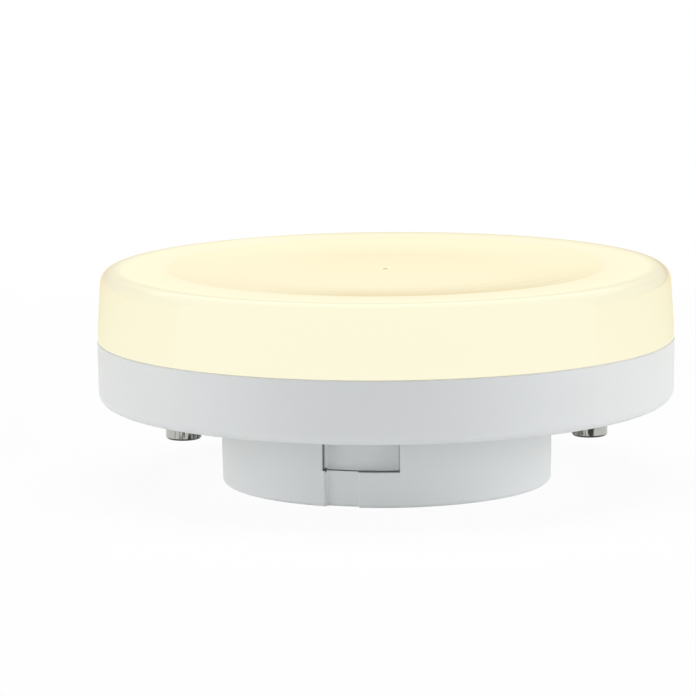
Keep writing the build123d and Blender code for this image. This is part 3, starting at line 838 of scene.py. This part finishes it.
# %% Reflector nylon and phosphor silicone
cup_nylon, tree, shader = material("reflector_nylon", "#F0F0EC", 0.4, ior=1.53)
grain(tree, shader, 0.1, "#F2F2EE", "#E9E9E4", relief_mm=0.001)
dress(cup_nylon, "led_packages")

phosphor, tree, shader = material("phosphor_silicone", "#E3B83A", 0.3, ior=1.42, emission_strength=0.6,
                                  emission_color="#FFE2A0")
grain(tree, shader, 0.08, "#E8C04A", "#D9A92C", relief_mm=0.002)
dress(phosphor, "led_phosphor")

# %% [markdown]
# The terminal is off-white nylon, and the screws are steel with a thin zinc plating whose crystals
# make small bluish and grey patches.

# %% Nylon and zinc-plated steel
nylon, tree, shader = material("moulded_nylon", "#E4E2DA", 0.45, ior=1.53)
grain(tree, shader, 0.2, "#E8E6DE", "#DCDAD1", relief_mm=0.002)
dress(nylon, "board_terminal")

zinc, tree, shader = material("zinc_plated_steel", "#B4B8BC", 0.3, metallic=1.0)
patches = add(tree, "TexVoronoi", vector=places(tree, 0.4), scale=1.0, out="Distance")
tone = add(tree, "Mix", data_type="RGBA", factor=patches, a="#BEC3C8", b="#A6AAAE")
tree.links.new(tone, shader["Base Color"])
dress(zinc, "board_screws")

# %% [markdown]
# The driver board is glass epoxy under a green solder mask. Where the copper below stops, the mask
# looks darker. Square-edged cells a few millimetres wide stand for the copper areas.

# %% Green solder mask
mask_green, tree, shader = material("green_solder_mask", "#1E5C30", 0.25, ior=1.52)
areas = add(tree, "TexVoronoi", vector=places(tree, 3.5), scale=1.0, distance="MANHATTAN", feature="F1",
            out="Distance")
gap = add(tree, "MapRange", value=areas, from_min=0.55, from_max=0.6)
tone = add(tree, "Mix", data_type="RGBA", factor=gap, a="#256B39", b="#164726")
relief = add(tree, "Bump", height=gap, strength=1.0, distance=-0.035 * MM)
tree.links.new(tone, shader["Base Color"])
tree.links.new(relief, shader["Normal"])
dress(mask_green, "driver_board")

# %% [markdown]
# The electrolytic capacitors are aluminium cans in a shrunk black sleeve. The sleeve leaves the ends
# bare, so the faces that look along the can show metal.

# %% Sleeved aluminium can
sleeve, tree, shader = material("sleeved_aluminium_can", "#17181B", 0.35, ior=1.54)
facing = add(tree, "SeparateXYZ", add(tree, "NewGeometry", out="True Normal"), out="X")
facing = add(tree, "Math", facing, operation="ABSOLUTE")
ends = add(tree, "MapRange", value=facing, from_min=0.9, from_max=0.95)
tone = add(tree, "Mix", data_type="RGBA", factor=ends, a="#1A1B1F", b="#C6C8CA")
wrap = add(tree, "TexNoise", vector=places(tree, 0.8, (0.3, 1, 1)), scale=1.0, detail=2.0)
relief = add(tree, "Bump", height=wrap, strength=1.0, distance=0.01 * MM)
tree.links.new(tone, shader["Base Color"])
tree.links.new(ends, shader["Metallic"])
tree.links.new(relief, shader["Normal"])
dress(sleeve, "input_capacitor", "output_capacitor")

# %% [markdown]
# The choke is a fired ferrite drum, dark and dull like slate, wound with enamelled copper wire. The
# turns are in the solid, and finer strands 0.2 mm apart are drawn on them.

# %% Ferrite and enamelled copper
ferrite, tree, shader = material("fired_ferrite", "#3A3A3D", 0.6, ior=1.6)
grain(tree, shader, 0.12, "#424245", "#303033", relief_mm=0.006)
dress(ferrite, "choke_core")

copper, tree, shader = material("enamelled_copper", "#B4602E", 0.3, metallic=1.0, coat_weight=1.0)
turns = add(tree, "SeparateXYZ", places(tree, 0.2), out="Z")
strand = add(tree, "Math", turns, 0.5, operation="PINGPONG")
tone = add(tree, "Mix", data_type="RGBA", factor=strand, a="#7E3C18", b="#C87440")
relief = add(tree, "Bump", height=strand, strength=1.0, distance=0.05 * MM)
tree.links.new(tone, shader["Base Color"])
tree.links.new(relief, shader["Normal"])
dress(copper, "choke_winding")

# %% [markdown]
# The film capacitor's case is polypropylene, moulded in a dark yellow. The chips' packages are black
# epoxy, matt from its glass filler, and their flat feet on the board are tinned copper.

# %% Polypropylene case and moulded epoxy
case, tree, shader = material("polypropylene_case", "#C48A1E", 0.3, ior=1.49)
grain(tree, shader, 0.3, "#CA9226", "#B87F18", relief_mm=0.003)
dress(case, "film_capacitor")

FEET_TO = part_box("driver_board")[1].z + 0.15 * MM  # the feet end at this height and the body starts
epoxy, tree, shader = material("moulded_epoxy", "#1C1C1E", 0.55, ior=1.55)
body = add(tree, "MapRange", value=along(tree, "Z"), from_min=FEET_TO, from_max=FEET_TO + 0.1 * MM)
feet = add(tree, "Math", 1.0, body, operation="SUBTRACT")
speck = add(tree, "TexNoise", vector=places(tree, 0.06), scale=1.0, detail=2.0)
black = add(tree, "Mix", data_type="RGBA", factor=speck, a="#202022", b="#151517")
tone = add(tree, "Mix", data_type="RGBA", factor=body, a="#B9B9B4", b=black)
tree.links.new(tone, shader["Base Color"])
tree.links.new(feet, shader["Metallic"])
dress(epoxy, "bridge_rectifier", "driver_chip", "catch_diode")

# %% [markdown]
# The resistor is a ceramic rod under a grey-blue lacquer, with bare tinned leads at its two ends. The
# small chips are sintered ceramic, beige and slightly grainy.

# %% Lacquered rod and sintered ceramic
ROD_X = (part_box("fusible_resistor")[0].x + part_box("fusible_resistor")[1].x) / 2
ROD_HALF = 3.5 * MM
lacquer, tree, shader = material("lacquered_ceramic", "#7D929A", 0.3, ior=1.5)
apart = add(tree, "Math", along(tree, "X"), ROD_X, operation="SUBTRACT")
apart = add(tree, "Math", apart, operation="ABSOLUTE")
bare = add(tree, "MapRange", value=apart, from_min=ROD_HALF, from_max=ROD_HALF + 0.05 * MM)
tone = add(tree, "Mix", data_type="RGBA", factor=bare, a="#7D929A", b="#BDBDB8")
tree.links.new(tone, shader["Base Color"])
tree.links.new(bare, shader["Metallic"])
dress(lacquer, "fusible_resistor")

ceramic, tree, shader = material("sintered_ceramic", "#B39A78", 0.4, ior=1.7)
grain(tree, shader, 0.1, "#BAA281", "#A88E6B", relief_mm=0.002)
dress(ceramic, "chip_resistors", "chip_capacitors")


# %% [markdown]
# The leads are fine wires in silicone, which is soft and dull with a faint dusty bloom. They differ
# in colour only: white from the pins, red and black to the LED board.

# %% Silicone insulation
def silicone(name, pale, dark):
    """Silicone rubber insulation between these two tones."""
    rubber, tree, shader = material(name, pale, 0.6, ior=1.41)
    grain(tree, shader, 0.4, pale, dark, relief_mm=0.003)
    return rubber


dress(silicone("white_silicone", "#E6E5E0", "#DCDBD5"), "pin_lead_left", "pin_lead_right")
dress(silicone("red_silicone", "#B3231D", "#9E1C17"), "led_lead_positive")
dress(silicone("black_silicone", "#202021", "#161617"), "led_lead_negative")
print(len(dressed), "inner pieces dressed")
